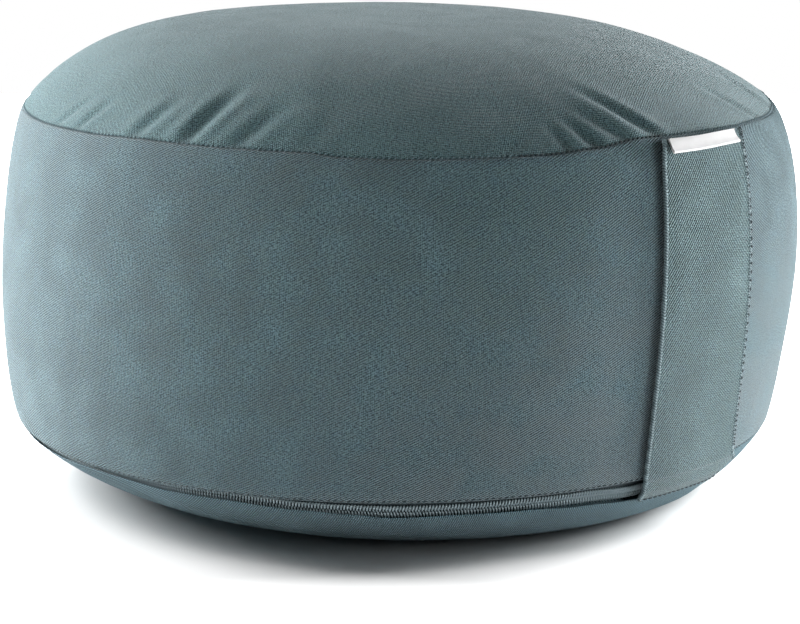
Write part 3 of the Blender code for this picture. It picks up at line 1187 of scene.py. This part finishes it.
def add_camera():
    data = bpy.data.cameras.new("camera")
    data.sensor_width = SENSOR_WIDTH
    data.lens = PHOTO_LENS
    data.clip_start = CLIP_START
    data.clip_end = CLIP_END
    camera = bpy.data.objects.new("camera", data)
    camera.location = CAMERA_PLACE
    camera.rotation_mode = "QUATERNION"
    aim = Vector(CAMERA_AIM) - Vector(CAMERA_PLACE)
    camera.rotation_quaternion = aim.to_track_quat("-Z", "Y")
    bpy.context.collection.objects.link(camera)
    bpy.context.scene.camera = camera


def add_light(name, azimuth, elevation, distance, width, height, watts, lit):
    data = bpy.data.lights.new(name, "AREA")
    data.shape = "RECTANGLE"
    data.size = width
    data.size_y = height
    data.energy = watts
    light = bpy.data.objects.new(name, data)
    turn = math.radians(azimuth)
    rise = math.radians(elevation)
    away = Vector((math.sin(turn) * math.cos(rise), -math.cos(turn) * math.cos(rise),
                   math.sin(rise)))
    light.location = LIGHT_AIM + away * distance
    light.rotation_mode = "QUATERNION"
    light.rotation_quaternion = (-away).to_track_quat("-Z", "Y")
    bpy.context.collection.objects.link(light)
    light.light_linking.receiver_collection = lit


def add_world():
    """White surroundings, which light the object less than they show."""
    world = bpy.data.worlds.new("studio")
    world.use_nodes = True
    tree = world.node_tree
    background = tree.nodes["Background"]
    background.inputs["Color"].default_value = (1, 1, 1, 1)
    path = tree.nodes.new("ShaderNodeLightPath")
    strength = tree.nodes.new("ShaderNodeMath")
    strength.operation = "MAXIMUM"
    tree.links.new(path.outputs["Is Camera Ray"], strength.inputs[0])
    strength.inputs[1].default_value = WORLD_LIGHT
    tree.links.new(strength.outputs[0], background.inputs["Strength"])
    bpy.context.scene.world = world
    bpy.context.scene.view_settings.view_transform = "Standard"


def add_floor():
    """Pale round floor."""
    paint = Shader("floor_paint", 0.95, Specular_IOR_Level=0.1)
    seen = paint.node("LightPath").outputs["Is Camera Ray"]
    paint.colour(paint.blend(seen, FLOOR_BOUNCE, FLOOR_COLOUR))
    turns = [FULL_TURN * i / FLOOR_SIDES for i in range(FLOOR_SIDES)]
    rim = [Vector((math.cos(turn), math.sin(turn), 0)) * FLOOR_REACH for turn in turns]
    floor = new_piece("floor", rim, [tuple(range(FLOOR_SIDES))], paint.material)
    floor.location.z = -FLOOR_DOWN
    return floor


def add_lights(floor):
    """The softboxes, some for the floor alone and the others for the object alone."""
    floor_only = bpy.data.collections.new("floor_only")
    floor_only.objects.link(floor)
    object_only = bpy.data.collections.new("object_only")
    for piece in bpy.context.scene.objects:
        if piece.type == "MESH" and piece != floor:
            object_only.objects.link(piece)
    for name, (*settings, for_floor) in LIGHTS.items():
        add_light(name, *settings, floor_only if for_floor else object_only)


# Assembly

def build_cushion():
    # The bottom panel's tint is painted light from the floor's bounce.
    cover = build_cover(twill("bottom_twill", -75, 2.0, BOTTOM_PAINTED_BOUNCE_LIGHT), twill("band_twill", 27, 1.0),
                        twill("top_twill", 12, 0.3, TOP_TINT))
    belongs(cover, "cover_cloth", "cushion")


def build_trim():
    strap_cloth = twill("strap_twill", 125, 0.9, STRAP_TINT, STRAP_PITCH)
    strap = belongs(build_strap(strap_cloth), "strap_cloth", "strap")
    edge_thread = thread("edge_thread", (0.025, 0.045, 0.055), (0.21, 0.29, 0.31), ROPE_ANGLE,
                         ROPE_SPACING)
    belongs(build_strap_edges(edge_thread), "strap_cloth", "strap")
    label = belongs(build_label(ribbon_weave("label_ribbon")), "label_ribbon", "label")


def build_zip():
    plastic = nylon("coil_nylon", (0.20, 0.28, 0.31), (0.38, 0.46, 0.49))
    belongs(build_coil("zip_coil_upper_turns", UPPER_MIDDLE, 1, plastic), "zip_plastic",
            "zip_coil_upper")
    belongs(build_coil("zip_coil_lower_turns", LOWER_MIDDLE, -1, plastic), "zip_plastic",
            "zip_coil_lower")
    # The tapes are coloured far darker than the cloth: painted shade of the recess behind the coils
    # and under the fold.
    cloth = tape_weave_painted_shade("tape_weave_painted_shade", (0.014, 0.028, 0.034), (0.032, 0.056, 0.064))
    meeting = (UPPER_MIDDLE + LOWER_MIDDLE) / 2
    edge = CLEARANCE / 2
    end = LOWER_MIDDLE + COIL_WIDTH / 2 + TAPE_MARGIN
    belongs(build_tape("tape_upper", -TAPE_ABOVE, meeting - edge, cloth), "zip_tape",
            "zip_tape_upper")
    belongs(build_tape("tape_lower", meeting + edge, end, cloth), "zip_tape", "zip_tape_lower")


def build_sewing():
    # This near-black thread paints the shade in and around the stitches where it is used.
    dark = thread("painted_shade_thread", (0.008, 0.016, 0.020), (0.030, 0.050, 0.058))
    light = thread("cloth_thread", (0.045, 0.080, 0.095), (0.17, 0.25, 0.28))
    # name, first and last azimuth, pitch, share of it stitched, base, slant, radius, arch, thread
    rows = (
        ("top_seam_stitches", 39, 376, 0.0021, 0.62, seam_base, 0.0014, 0.00024, 0.00025, light),
        # The front of the top seam is the same stitching as the rest, in the dark thread as painted
        # shade of the puckers there.
        ("front_seam_stitches_painted_shade", 16, 39, 0.0021, 0.70, seam_base, 0.0008, 0.00040, 0.00045, dark),
        ("fold_stitches", -131, 38, 0.0025, 0.72, fold_base, 0.0004, 0.00030, 0.00035, dark),
        ("bottom_seam_stitches", 57, 224, 0.0027, 0.62, plain_base, 0.0006, 0.00028, 0.0003, dark),
        ("strap_end_stitches", 37, 56, 0.0027, 0.88, end_base, 0.0, 0.00045, 0.00040, dark),
    )
    for row in rows:
        belongs(stitch_row(*row), "cover_cloth")
    # The strap's side stitches are dark as painted shadow of its overcast edge.
    belongs(strap_side_stitches(dark), "strap_cloth", "strap")


add_camera()
build_cushion()
build_trim()
build_zip()
build_sewing()
add_lights(add_floor())
add_world()
